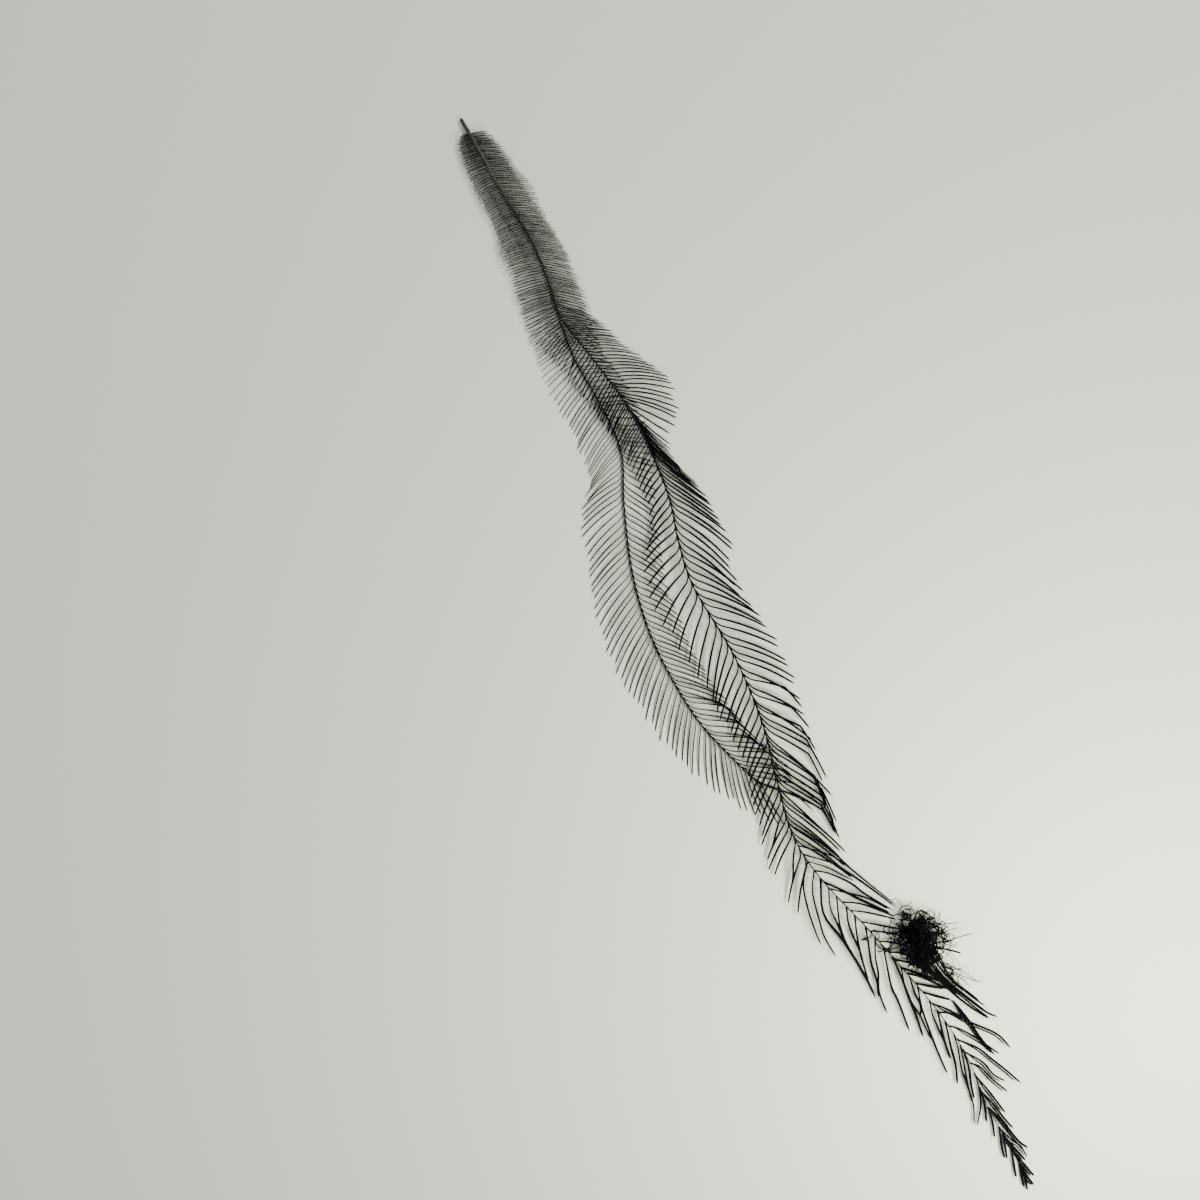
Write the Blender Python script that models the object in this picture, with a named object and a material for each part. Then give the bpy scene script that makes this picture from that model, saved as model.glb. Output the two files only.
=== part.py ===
"""A double-shafted emu feather lying flat: a short quill, the main plume and the after plume.

The tables are in millimetres, in a plan with +X from the quill's end to the tip, +Y to the
main plume's long-barbed side and +Z up. MM and PLAN_MIDDLE turn them to metres round the
middle of the footprint, with the surface it lies on at z = 0.
"""
import math

import bmesh
import bpy
import numpy as np
from mathutils import Vector, noise

MM = 0.001
PLAN_MIDDLE = Vector((150.0, -7.84, 0.0))

# Quill: X, Y, Z of its centre line, rounded at the bare end
QUILL_STATIONS = [
    (-0.6, 0.0, 0.52), (-0.2, 0.0, 0.52), (1.4, 0.05, 0.54), (2.6, 0.1, 0.62), (3.4, 0.13, 0.72),
]
QUILL_RADII = [0.26, 0.42, 0.46, 0.47, 0.5]

# Shafts, from the fork to the tip: X, Y, Z of the centre line
MAIN_ROUTE = [
    (3.7, 0.14, 1.12), (8.0, 0.24, 1.5), (17.4, 0.3, 2.0), (35.6, 0.9, 2.2), (46.5, -0.3, 2.3),
    (55.5, -1.5, 2.4), (67.6, 0.5, 2.6), (80.8, 2.3, 2.9), (92.7, 2.4, 3.1), (107.1, 0.9, 2.6),
    (118.0, -2.2, 2.3), (129.6, -4.2, 2.2), (149.3, -3.4, 2.2), (167.2, -5.1, 2.1), (181.5, -8.7, 2.0),
    (195.4, -11.6, 1.9), (208.0, -10.6, 1.8), (227.2, -5.6, 1.5), (250.9, -0.5, 1.2), (266.0, 0.5, 0.95),
    (277.5, -0.7, 0.8), (300.6, -0.3, 0.4),
]
AFTER_ROUTE = [
    (3.7, 0.14, 0.3), (8.0, 0.24, 0.36), (17.4, 0.3, 0.4), (35.6, 0.9, 0.4), (46.5, -0.3, 0.4),
    (56.0, -2.1, 0.4), (66.0, -3.4, 0.4), (80.2, -3.0, 0.4), (92.0, -4.3, 0.4), (104.0, -10.0, 0.4),
    (121.1, -16.4, 0.35), (138.7, -19.5, 0.35), (157.6, -19.0, 0.3), (170.0, -16.2, 0.28),
    (182.0, -12.2, 0.25),
]
SHAFT_SPACING = 3.4
# X, radius of the shaft
MAIN_RADII = [(3.7, 0.3), (60.0, 0.26), (110.0, 0.24), (200.0, 0.2), (300.6, 0.13)]
AFTER_RADII = [(3.7, 0.18), (60.0, 0.22), (110.0, 0.2), (182.0, 0.13)]

# Barbs by the X of their root: X, length, angle to the shaft in degrees, height their outer half rests at
MAIN_RIGHT = [
    (3.7, 4.2, 72, 0.95), (5.3, 5.6, 66, 0.95), (9.0, 6.8, 61, 0.95), (17.5, 8.7, 61, 0.95),
    (27.0, 7.9, 53, 0.95), (46.5, 9.4, 60, 0.95), (61.5, 11.0, 50, 0.95), (70.6, 15.6, 51, 0.95),
    (74.0, 17.0, 52, 0.95), (76.0, 15.6, 47, 0.95), (78.0, 16.1, 41, 0.95), (79.5, 15.8, 35, 0.95),
    (81.0, 14.6, 22, 0.95), (82.0, 14.3, 14, 0.95), (85.0, 15.0, 12, 0.95), (88.0, 20.5, 17, 0.95),
    (91.0, 20.0, 22, 0.9), (95.0, 20.4, 27, 0.75), (99.0, 20.5, 33, 0.55), (104.0, 20.3, 35, 0.2),
    (108.0, 21.5, 34, 0.0), (123.0, 19.8, 42, 0.0), (140.0, 19.0, 35, 0.0), (157.0, 18.0, 38, 0.95),
    (166.5, 22.5, 28, 0.95), (176.0, 24.0, 33, 0.95), (194.0, 19.4, 34, 0.95), (208.0, 20.0, 34, 0.95),
    (220.0, 18.0, 32, 0.0), (243.0, 21.8, 28, 0.0), (259.0, 19.5, 20, 0.0), (266.0, 13.5, 18, 0.0),
    (277.5, 9.0, 19, 0.0), (286.0, 7.5, 26, 0.0), (297.0, 4.6, 16, 0.0),
]
MAIN_LEFT = [
    (3.7, 2.6, 106, 0.95), (5.3, 3.8, 102, 0.95), (9.0, 5.2, 104, 0.95), (17.5, 6.1, 96, 0.95),
    (27.0, 6.2, 100, 0.95), (35.0, 8.5, 105, 0.95), (48.0, 9.0, 95, 0.95), (62.0, 9.0, 75, 0.95),
    (80.0, 9.0, 60, 0.95), (95.0, 8.0, 52, 0.95), (102.0, 7.0, 56, 0.95), (108.5, 9.4, 50, 0.95),
    (117.0, 13.0, 57, 0.95), (128.0, 14.6, 47, 0.95), (141.0, 18.0, 39, 0.95), (151.0, 14.6, 44, 0.95),
    (168.0, 12.5, 36, 0.95), (183.0, 13.4, 33, 0.95), (195.0, 13.0, 44, 0.95), (208.0, 16.0, 34, 0.95),
    (220.0, 21.5, 28, 0.0), (235.0, 18.8, 28, 0.0), (251.0, 19.2, 24, 0.0), (263.0, 18.8, 22, 0.0),
    (278.0, 14.3, 13, 0.0), (286.0, 11.5, 13, 0.0), (297.0, 5.6, 10, 0.0),
]
AFTER_RIGHT = [
    (3.7, 3.4, 72, 0.0), (5.3, 4.8, 66, 0.0), (10.0, 6.0, 63, 0.0), (25.0, 7.2, 57, 0.0),
    (46.0, 8.4, 60, 0.0), (65.0, 9.5, 60, 0.0), (80.0, 9.5, 62, 0.0), (92.0, 9.5, 58, 0.0),
    (104.0, 11.0, 50, 0.0), (121.0, 13.0, 45, 0.0), (148.0, 16.0, 38, 0.0), (167.0, 17.0, 30, 0.0),
    (176.0, 18.0, 22, 0.0), (182.0, 15.0, 12, 0.0),
]
AFTER_LEFT = [
    (3.7, 2.2, 106, 0.0), (5.3, 3.3, 102, 0.0), (10.0, 4.8, 102, 0.0), (25.0, 6.0, 98, 0.0),
    (46.0, 8.5, 95, 0.0), (65.0, 10.0, 75, 0.0), (80.0, 12.0, 60, 0.0), (104.0, 15.0, 48, 0.0),
    (121.0, 16.0, 45, 0.0), (148.0, 16.0, 40, 0.0), (167.0, 15.0, 32, 0.0), (176.0, 14.0, 22, 0.0),
    (182.0, 12.0, 12, 0.0),
]

# Vane at the base, where the barbs lie close enough to read as one sheet with a toothed edge
VANE_START = 4.0
VANE_END = 61.5
VANE_PITCH = 2.15
VANE_NOTCH = 0.84
VANE_THICKNESS = 0.35

# Locks of barbs beyond it: last X and pitch along X of each stretch
MAIN_LOCKS = [(108.0, 5.8), (297.5, 10.2)]
AFTER_LOCKS = [(102.0, 6.6), (181.0, 11.2)]
LOCK_STEPS = 7
LOCK_FILL = 0.43
LOCK_WIDTHS = [(0.0, 0.22), (0.35, 1.0), (0.65, 0.9), (1.0, 0.1)]
LOCK_HEIGHTS = [(0.0, 0.2), (0.4, 0.3), (1.0, 0.12)]
LOCK_DROP = 0.1
# Width of the leanest lock, as a share of its pitch along the shaft
LEANEST_LOCK = 0.45
# A barb leaves nearer to the shaft's own line, and has opened to its full angle by this share of its length
OPENING_SHARE = 0.35
OPENING_START = 0.45
# Barbs that stand out further than this, in degrees, are straight
STRAIGHT_ANGLE = 60
# By this share of its length a barb has come down to the height it rests at
SETTLED_SHARE = 0.55

# Knot of curled and matted barb ends, on the long-barbed side near the tip
KNOT_CENTRE = (233.0, 4.0, 2.5)
KNOT_RADII = (5.6, 4.6, 2.6)
KNOT_LUMPS = 0.34
KNOT_LUMP_SCALE = 1.7

# Barbs stuck in a thick lock past the knot, and the short clump beyond: X, Y, Z of the line, half its width
STUCK_LOCKS = [
    ([(236.0, 2.4, 1.4), (243.4, 4.2, 0.9), (250.0, 6.6, 0.7), (260.2, 11.6, 0.3)], 0.9),
    ([(249.8, 3.4, 0.15), (254.0, 4.4, 0.1), (262.0, 6.1, 0.1), (268.6, 7.4, 0.1)], 0.45),
]
WELD_DISTANCE = 0.01


def lay_out(point):
    """A point of the plan, in metres round the middle of the footprint."""
    return (Vector(point) - PLAN_MIDDLE) * MM


def smooth_route(stations, spacing):
    """Points about one spacing apart on a Catmull-Rom curve through the stations."""
    knots = [Vector(station) for station in stations]
    knots = [2 * knots[0] - knots[1], *knots, 2 * knots[-1] - knots[-2]]
    points = []
    for before, start, end, after in zip(knots, knots[1:], knots[2:], knots[3:]):
        count = max(1, round((end - start).length / spacing))
        for i in range(count):
            t = i / count
            linear = (end - before) * t
            square = (2 * before - 5 * start + 4 * end - after) * t ** 2
            cube = (3 * start - before - 3 * end + after) * t ** 3
            points.append(start + (linear + square + cube) / 2)
    return [*points, knots[-2]]


def at_station(route, x):
    """The route's point at this X, and its heading in the plan."""
    here = next((i for i, point in enumerate(route) if point.x > x), len(route) - 1)
    here = max(1, here)
    start, end = route[here - 1], route[here]
    share = (x - start.x) / (end.x - start.x)
    return start.lerp(end, share), math.atan2(end.y - start.y, end.x - start.x)


def read_table(rows, x):
    """The columns of a table at this X, straight between its rows."""
    first, *others = zip(*rows)
    return [float(np.interp(x, first, column)) for column in others]


def barb_line(route, table, side, x):
    """Points of the barb rooted at this X: it leaves along the shaft, opens out and settles at its height."""
    root, heading = at_station(route, x)
    length, angle, rest = read_table(table, x)
    point = Vector((root.x, root.y, 0.0))
    line = []
    for i in range(LOCK_STEPS + 1):
        t = i / LOCK_STEPS
        settled = min(1.0, t / SETTLED_SHARE)
        settled = settled * settled * (3 - 2 * settled)
        height = (root.z - LOCK_DROP) * (1 - settled) + rest * settled
        line.append(Vector((point.x, point.y, height)))
        closed = max(0.0, 1 - (t + 0.5 / LOCK_STEPS) / OPENING_SHARE) ** 2
        opened = 1 - (1 - OPENING_START) * closed if angle < STRAIGHT_ANGLE else 1.0
        turned = heading + side * math.radians(angle) * opened
        point = point + Vector((math.cos(turned), math.sin(turned), 0.0)) * length / LOCK_STEPS
    return line


def add_object(name, mesh, collection):
    """A new object that holds this mesh."""
    made = bpy.data.objects.new(name, mesh)
    collection.objects.link(made)
    return made


def loft(mesh, rings):
    """Adds one closed solid through rings of the same number of points."""
    loops = [[mesh.verts.new(lay_out(point)) for point in ring] for ring in rings]
    faces = [mesh.faces.new(loops[0]), mesh.faces.new(loops[-1])]
    for near, far in zip(loops, loops[1:]):
        for i in range(len(near)):
            j = (i + 1) % len(near)
            faces.append(mesh.faces.new((near[i], near[j], far[j], far[i])))
    bmesh.ops.recalc_face_normals(mesh, faces=faces)


def shaft(name, points, radii, collection):
    """A round shaft that tapers, as a mesh."""
    curve = bpy.data.curves.new(name, "CURVE")
    curve.dimensions = "3D"
    curve.bevel_depth = MM
    curve.bevel_resolution = 1
    curve.use_fill_caps = True
    spline = curve.splines.new("POLY")
    spline.points.add(len(points) - 1)
    for place, point, radius in zip(spline.points, points, radii):
        place.co = (*lay_out(point), 1.0)
        place.radius = radius
    guide = add_object(name + "_line", curve, collection)
    graph = bpy.context.evaluated_depsgraph_get()
    mesh = bpy.data.meshes.new_from_object(guide.evaluated_get(graph))
    bpy.data.objects.remove(guide)
    body = bmesh.new()
    body.from_mesh(mesh)
    bmesh.ops.remove_doubles(body, verts=body.verts, dist=WELD_DISTANCE * MM)
    body.to_mesh(mesh)
    body.free()
    return add_object(name, mesh, collection)


def add_base_vane(mesh, route, tables):
    """The vane at the base: a thin sheet arched over the shaft's line, with a toothed edge."""
    rings = []
    count = round((VANE_END - VANE_START) / VANE_PITCH)
    for i in range(count + 1):
        x = VANE_START + i * (VANE_END - VANE_START) / count
        root, heading = at_station(route, x)
        notch = VANE_NOTCH if i % 2 else 1.0
        edges = []
        for side, table in ((1, tables[0]), (-1, tables[1])):
            length, angle, rest = read_table(table, x)
            turned = heading + side * math.radians(angle)
            reach = Vector((math.cos(turned), math.sin(turned), 0.0)) * length * notch
            edges.append(Vector((root.x, root.y, rest)) + reach)
        under = root.z - VANE_THICKNESS / 2 if edges[0].z > 0 else 0.0
        over = under + VANE_THICKNESS
        rings.append([edges[0], (root.x, root.y, under), edges[1], (root.x, root.y, over)])
    loft(mesh, rings)


def add_locks(mesh, route, tables, stretches):
    """Locks of barbs on both sides: narrow blades with a flat underside and a ridge on top."""
    x = VANE_END
    for last, pitch in stretches:
        while x + pitch <= last:
            x += pitch
            for side, table in ((1, tables[0]), (-1, tables[1])):
                lean = math.sin(math.radians(read_table(table, x)[1]))
                add_lock(mesh, barb_line(route, table, side, x), pitch * LOCK_FILL * max(LEANEST_LOCK, lean))


def add_lock(mesh, line, widest):
    """One lock along its line, this far to each side where it is widest."""
    rings = []
    for i, point in enumerate(line):
        t = i / LOCK_STEPS
        along = (line[min(i + 1, LOCK_STEPS)] - line[max(i - 1, 0)]).normalized()
        across = Vector((-along.y, along.x, 0.0)).normalized()
        half = widest * np.interp(t, *zip(*LOCK_WIDTHS))
        ridge = float(np.interp(t, *zip(*LOCK_HEIGHTS)))
        rings.append([point - across * half, point + across * half, point + Vector((0, 0, ridge))])
    loft(mesh, rings)


def add_knot(mesh):
    """The knot: a lumpy ball pressed flat where it lies on the surface."""
    made = bmesh.ops.create_icosphere(mesh, subdivisions=3, radius=1.0)
    for vert in made["verts"]:
        lump = 1 + KNOT_LUMPS * noise.noise(vert.co * KNOT_LUMP_SCALE)
        point = [c + r * axis * lump for c, r, axis in zip(KNOT_CENTRE, KNOT_RADII, vert.co)]
        point[2] = max(0.0, point[2])
        vert.co = lay_out(point)


def add_stuck_locks(mesh):
    """The locks of barbs stuck together that no longer follow their own roots."""
    for stations, half_width in STUCK_LOCKS:
        route = smooth_route(stations, 1.0)
        places = np.linspace(0, len(route) - 1, LOCK_STEPS + 1)
        add_lock(mesh, [route[round(place)] for place in places], half_width)


def fuse(body, grown, collection):
    """Joins what grows from a shaft to it, as one closed solid."""
    mesh = bpy.data.meshes.new(body.name + "_growth")
    grown.to_mesh(mesh)
    grown.free()
    growth = add_object(body.name + "_growth", mesh, collection)
    union = body.modifiers.new("fused", "BOOLEAN")
    union.operation = "UNION"
    union.solver = "EXACT"
    union.use_self = True
    union.object = growth
    graph = bpy.context.evaluated_depsgraph_get()
    joined = bpy.data.meshes.new_from_object(body.evaluated_get(graph))
    body.modifiers.clear()
    body.data = joined
    bpy.data.objects.remove(growth)


def finish(name, colour, roughness):
    """A Principled material of one colour."""
    material = bpy.data.materials.new(name)
    material.use_nodes = True
    shader = material.node_tree.nodes["Principled BSDF"]
    shader.inputs["Base Color"].default_value = (*colour, 1.0)
    shader.inputs["Roughness"].default_value = roughness
    shader.inputs["Metallic"].default_value = 0.0
    return material


def make_quill(collection):
    """The bare quill, open-ended in life and here a solid rod."""
    quill = shaft("quill", QUILL_STATIONS, QUILL_RADII, collection)
    quill.data.materials.append(finish("quill_horn", (0.035, 0.030, 0.022), 0.4))


def make_plume(name, route_stations, radii, tables, stretches, collection, knotted=False):
    """A shaft with its base vane and its locks, and the knot if it has one."""
    route = smooth_route(route_stations, SHAFT_SPACING)
    plume = shaft(name, route, [read_table(radii, point.x)[0] for point in route], collection)
    grown = bmesh.new()
    add_base_vane(grown, route, tables)
    add_locks(grown, route, tables, stretches)
    if knotted:
        add_knot(grown)
        add_stuck_locks(grown)
    fuse(plume, grown, collection)
    plume.data.materials.clear()
    plume.data.materials.append(finish(name + "_barbs", (0.012, 0.012, 0.014), 0.55))


def main():
    for leftover in list(bpy.data.objects):
        bpy.data.objects.remove(leftover)
    feather = bpy.data.collections.new("emu_feather")
    bpy.context.scene.collection.children.link(feather)
    make_quill(feather)
    main_barbs, after_barbs = (MAIN_RIGHT, MAIN_LEFT), (AFTER_RIGHT, AFTER_LEFT)
    make_plume("main_plume", MAIN_ROUTE, MAIN_RADII, main_barbs, MAIN_LOCKS, feather, knotted=True)
    make_plume("after_plume", AFTER_ROUTE, AFTER_RADII, after_barbs, AFTER_LOCKS, feather)


main()
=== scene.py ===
"""An emu feather dyed black: horn quill, main and after shaft, their barbs and down, and a matted knot.

The tables are in millimetres in the feather's plan, with +X from the quill's end to the tip, +Y to the
main plume's long-barbed side and +Z up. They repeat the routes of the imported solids, which every piece
follows and replaces. A hair here is any tapered strand: a barb, a barbule of the down, or a curl.
"""
import math
import random

import bpy
import numpy as np
from mathutils import Euler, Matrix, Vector, noise


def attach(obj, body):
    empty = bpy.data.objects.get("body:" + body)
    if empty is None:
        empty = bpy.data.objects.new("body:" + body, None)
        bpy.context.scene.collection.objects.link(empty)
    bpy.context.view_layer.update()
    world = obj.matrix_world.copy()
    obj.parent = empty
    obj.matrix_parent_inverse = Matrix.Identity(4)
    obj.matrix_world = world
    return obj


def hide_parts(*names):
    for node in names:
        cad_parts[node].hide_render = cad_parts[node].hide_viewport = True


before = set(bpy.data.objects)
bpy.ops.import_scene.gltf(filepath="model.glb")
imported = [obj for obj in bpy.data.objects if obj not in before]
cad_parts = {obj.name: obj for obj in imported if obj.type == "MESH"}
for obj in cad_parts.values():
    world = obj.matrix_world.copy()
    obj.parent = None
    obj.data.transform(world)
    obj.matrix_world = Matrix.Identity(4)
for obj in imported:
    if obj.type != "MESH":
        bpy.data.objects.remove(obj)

bl_info = {
    "name": "Emu feather",
    "version": (1, 0, 0),
    "blender": (4, 5, 0),
    "location": "View3D > Sidebar > Feather",
    "description": "Builds a dyed emu feather barb by barb on its packed solids",
    "category": "Add Mesh",
}

MM = 0.001
# Middle of the footprint, in the plan
PLAN_MIDDLE = Vector((150.0, -7.84, 0.0))
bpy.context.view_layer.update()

# Camera and light, from the photograph: its 1200 pixel frame, its pixel size and how the plan lies in it
PHOTO_PIXELS = 1200
PIXEL_MM = 0.242
QUILL_END_PIXEL = (458, 107)
PHOTO_TURN = math.radians(61.77)
FRAME_MARGIN = 1.03
LENS_MM = 50.0
SENSOR_MM = 36.0
BOARD_SIZE = 3.0
# Lights: name, place in metres, width, power, colour; one low and near the tip, one far and even
LIGHTS = [("near_light", (0.167, 0.078, 0.16), 0.12, 1.06, (1.0, 0.985, 0.74)),
          ("far_light", (-0.45, 1.5, 1.1), 0.3, 32.9, (1.0, 1.0, 0.96))]
WORLD_COLOUR = (0.9, 0.93, 1.0)
WORLD_STRENGTH = 0.57

# Sides of a shaft: +1 is +Y
SIDES = (("right", 1), ("left", -1))

# Quill and shafts: X, Y, Z of the centre line, and radii
QUILL_STATIONS = [
    (-0.6, 0.0, 0.52), (-0.2, 0.0, 0.52), (1.4, 0.05, 0.54), (2.6, 0.1, 0.58), (3.4, 0.13, 0.62),
]
QUILL_RADII = [0.26, 0.42, 0.46, 0.47, 0.5]
MAIN_ROUTE = [
    (2.8, 0.1, 0.66), (3.7, 0.14, 0.95), (8.0, 0.24, 1.5), (17.4, 0.3, 2.0), (35.6, 0.9, 2.2),
    (46.5, -0.3, 2.3), (55.5, -1.5, 2.4), (67.6, 0.5, 2.6), (80.8, 2.3, 2.9), (92.7, 2.4, 3.1),
    (107.1, 0.9, 2.6), (118.0, -2.2, 2.3), (129.6, -4.2, 2.2), (149.3, -3.4, 2.2), (167.2, -5.1, 2.1),
    (181.5, -8.7, 2.0), (195.4, -11.6, 1.9), (208.0, -10.6, 1.8), (227.2, -5.6, 1.5), (250.9, -0.5, 1.2),
    (266.0, 0.5, 0.95), (277.5, -0.7, 0.8), (300.6, -0.3, 0.4),
]
AFTER_ROUTE = [
    (2.8, 0.1, 0.42), (3.7, 0.14, 0.32), (8.0, 0.24, 0.36), (17.4, 0.3, 0.4), (35.6, 0.9, 0.4),
    (46.5, -0.3, 0.4), (56.0, -2.1, 0.4), (66.0, -3.4, 0.4), (80.2, -3.0, 0.4), (92.0, -4.3, 0.4),
    (104.0, -10.0, 0.4), (121.1, -16.4, 0.35), (138.7, -19.5, 0.35), (157.6, -19.0, 0.3),
    (170.0, -16.2, 0.28), (182.0, -12.2, 0.25),
]
SHAFT_SPACING = 1.6
# X of the first barb of each shaft, and the bare end of the after shaft
FIRST_BARB = 3.8
AFTER_BARE = 0.8
MAIN_RADII = [
    (3.7, 0.32), (20.0, 0.28), (35.0, 0.24), (60.0, 0.22), (110.0, 0.2), (200.0, 0.18), (300.6, 0.1),
]
AFTER_RADII = [(3.7, 0.18), (60.0, 0.18), (110.0, 0.17), (182.0, 0.1)]

# Barbs by the X of their root: X, length, angle to the shaft in degrees, height of the tip
MAIN_RIGHT = [
    (3.7, 4.2, 72, 0.7), (5.3, 5.6, 66, 0.95), (9.0, 6.8, 61, 0.95), (17.5, 8.7, 61, 0.95),
    (27.0, 7.9, 53, 0.95), (46.5, 9.4, 60, 0.95), (61.5, 11.0, 50, 0.95), (70.6, 15.6, 51, 0.95),
    (74.0, 17.0, 52, 0.95), (76.0, 15.6, 47, 0.95), (78.0, 16.1, 41, 0.95), (79.5, 15.8, 35, 0.95),
    (81.0, 14.6, 22, 0.95), (82.0, 14.3, 14, 0.95), (85.0, 18.4, 14, 0.95), (88.0, 19.8, 18, 0.9),
    (91.0, 18.7, 23, 0.8), (94.0, 17.2, 27, 0.8), (96.5, 18.2, 30, 0.8), (98.5, 17.0, 31, 0.8),
    (101.0, 18.7, 33, 0.8), (104.0, 18.8, 35, 0.8), (108.0, 20.8, 37, 0.8), (123.0, 19.8, 42, 0.8),
    (140.0, 19.0, 35, 0.8), (157.0, 18.0, 38, 0.95), (166.5, 22.5, 28, 0.95), (176.0, 24.0, 33, 0.95),
    (194.0, 19.4, 34, 0.95), (208.0, 20.0, 34, 0.95),
]
MAIN_LEFT = [
    (3.7, 2.6, 106, 0.7), (5.3, 3.8, 102, 0.95), (9.0, 5.2, 104, 0.95), (17.5, 6.1, 96, 0.95),
    (27.0, 6.2, 100, 0.95), (35.0, 8.5, 105, 0.95), (48.0, 9.0, 95, 0.95), (62.0, 9.0, 75, 0.95),
    (80.0, 9.0, 60, 0.95), (95.0, 8.0, 52, 0.95), (102.0, 7.0, 56, 0.95), (108.5, 9.4, 50, 0.95),
    (117.0, 13.0, 57, 0.95), (128.0, 14.6, 47, 0.95), (141.0, 18.0, 39, 0.95), (151.0, 14.6, 44, 0.95),
    (168.0, 12.5, 36, 0.95), (183.0, 13.4, 33, 0.95), (195.0, 13.0, 44, 0.95), (208.0, 16.0, 34, 0.95),
]
AFTER_RIGHT = [
    (3.7, 3.4, 72, 0.12), (5.3, 4.8, 66, 0.12), (10.0, 6.0, 63, 0.12), (25.0, 7.2, 57, 0.12),
    (46.0, 8.4, 60, 0.12), (65.0, 9.5, 60, 0.12), (80.0, 9.5, 62, 0.12), (92.0, 9.5, 58, 0.12),
    (104.0, 11.0, 50, 0.12), (121.0, 13.0, 45, 0.12), (148.0, 16.0, 38, 0.12), (167.0, 17.0, 30, 0.12),
    (176.0, 18.0, 22, 0.12), (182.0, 15.0, 12, 0.12),
]
AFTER_LEFT = [
    (3.7, 2.2, 106, 0.12), (5.3, 3.3, 102, 0.12), (10.0, 4.8, 102, 0.12), (25.0, 6.0, 98, 0.12),
    (46.0, 8.5, 95, 0.12), (65.0, 10.0, 75, 0.12), (80.0, 12.0, 60, 0.12), (104.0, 15.0, 48, 0.12),
    (121.0, 16.0, 45, 0.12), (148.0, 16.0, 40, 0.12), (167.0, 15.0, 32, 0.12), (176.0, 14.0, 22, 0.12),
    (182.0, 12.0, 12, 0.12),
]

# Barbs past the last grown one, drawn singly: share of the usual thickness, height of the tip, X and Y of
# the line from the root on
LAST_GROWN = {1: 197.0, -1: 201.5}
DRAWN_RIGHT = [
    (0.8, 0.9, (192.5, -11.3), (196.5, -8.8), (201.2, -6.1), (206.4, -3.9), (213.2, -1.6)),
    (0.9, 2.4, (198.3, -11.4), (203.1, -6.7), (206.8, -4.1), (215.0, -0.6), (223.2, 2.9)),
    (1.1, 2.4, (200.8, -11.1), (204.7, -7.6), (206.7, -5.8), (210.0, -3.9), (216.7, -0.5), (223.2, 2.4)),
    (0.8, 1.2, (202.9, -10.9), (206.7, -7.7), (210.2, -5.3), (212.9, -3.5)),
    (1.1, 2.4, (205.7, -10.8), (208.1, -8.1), (212.6, -4.6), (216.5, -2.8), (223.5, 1.4)),
    (1.4, 2.0, (209.3, -10.1), (212.0, -8.2), (214.1, -6.7), (217.3, -4.5), (223.9, 0.6)),
    (1.0, 2.2, (211.5, -9.6), (214.0, -7.0), (216.5, -4.1), (219.0, -1.8), (222.7, 0.5)),
    (1.1, 2.4, (215.9, -8.2), (218.0, -5.3), (220.5, -2.7), (225.0, 1.1)),
    (1.0, 2.2, (218.7, -7.5), (221.3, -4.1), (225.9, 1.2)),
    (1.0, 2.0, (222.4, -6.5), (224.8, -3.8), (228.1, 0.3)),
    (1.0, 2.0, (225.5, -5.7), (227.0, -3.5), (230.6, 0.9)),
    (1.0, 2.0, (228.8, -4.9), (230.6, -2.4), (233.2, 0.6)),
    (1.3, 1.6, (232.3, -3.7), (234.4, -1.2), (239.0, 2.4)),
    (1.3, 1.2, (234.7, -3.5), (238.0, -0.2), (242.6, 3.4), (246.0, 5.0)),
    (1.3, 1.2, (237.5, -2.9), (240.6, -0.3), (245.2, 3.8)),
    (1.3, 1.0, (239.2, -2.3), (242.2, 0.4), (247.5, 4.2)),
    (1.3, 0.9, (242.4, -1.9), (245.0, 1.0), (247.0, 3.6)),
    (1.3, 1.1, (245.2, -1.4), (247.9, 1.2), (250.1, 3.6)),
    (1.0, 1.0, (248.8, -0.8), (251.6, 1.6), (256.2, 4.7)),
    (1.0, 0.7, (251.5, -0.1), (253.3, 2.2), (258.2, 5.9), (263.4, 9.9), (268.3, 11.2)),
    (0.9, 0.7, (255.7, 0.5), (257.5, 2.1), (261.9, 4.9), (268.1, 8.1)),
    (1.0, 0.7, (259.7, 1.0), (263.9, 3.9), (267.8, 5.6), (272.4, 7.6), (277.1, 9.4)),
    (0.9, 0.7, (263.1, 1.0), (267.6, 3.3), (271.4, 4.2), (273.3, 5.2), (274.7, 6.2)),
    (0.9, 0.7, (266.4, 0.6), (268.5, 2.3), (272.1, 3.3), (277.3, 5.4)),
    (1.0, 0.7, (269.7, 0.0), (274.8, 1.3), (281.7, 2.4)),
    (1.0, 0.7, (273.8, -0.6), (277.6, 0.6), (282.6, 1.5), (286.0, 2.3)),
    (1.2, 0.7, (278.4, -0.6), (283.5, 0.8), (289.1, 1.9), (292.1, 3.3)),
    (0.8, 0.7, (283.9, -1.1), (288.1, 0.5), (290.4, 1.7), (294.0, 2.0)),
    (1.2, 0.7, (285.9, -1.1), (289.2, -0.1), (292.0, 0.6), (294.4, 1.2)),
    (1.2, 0.7, (291.8, -0.4), (294.9, 0.4), (298.8, 1.2)),
    (1.2, 0.7, (295.2, -0.6), (298.3, -0.3), (300.7, 0.1)),
]
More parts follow.
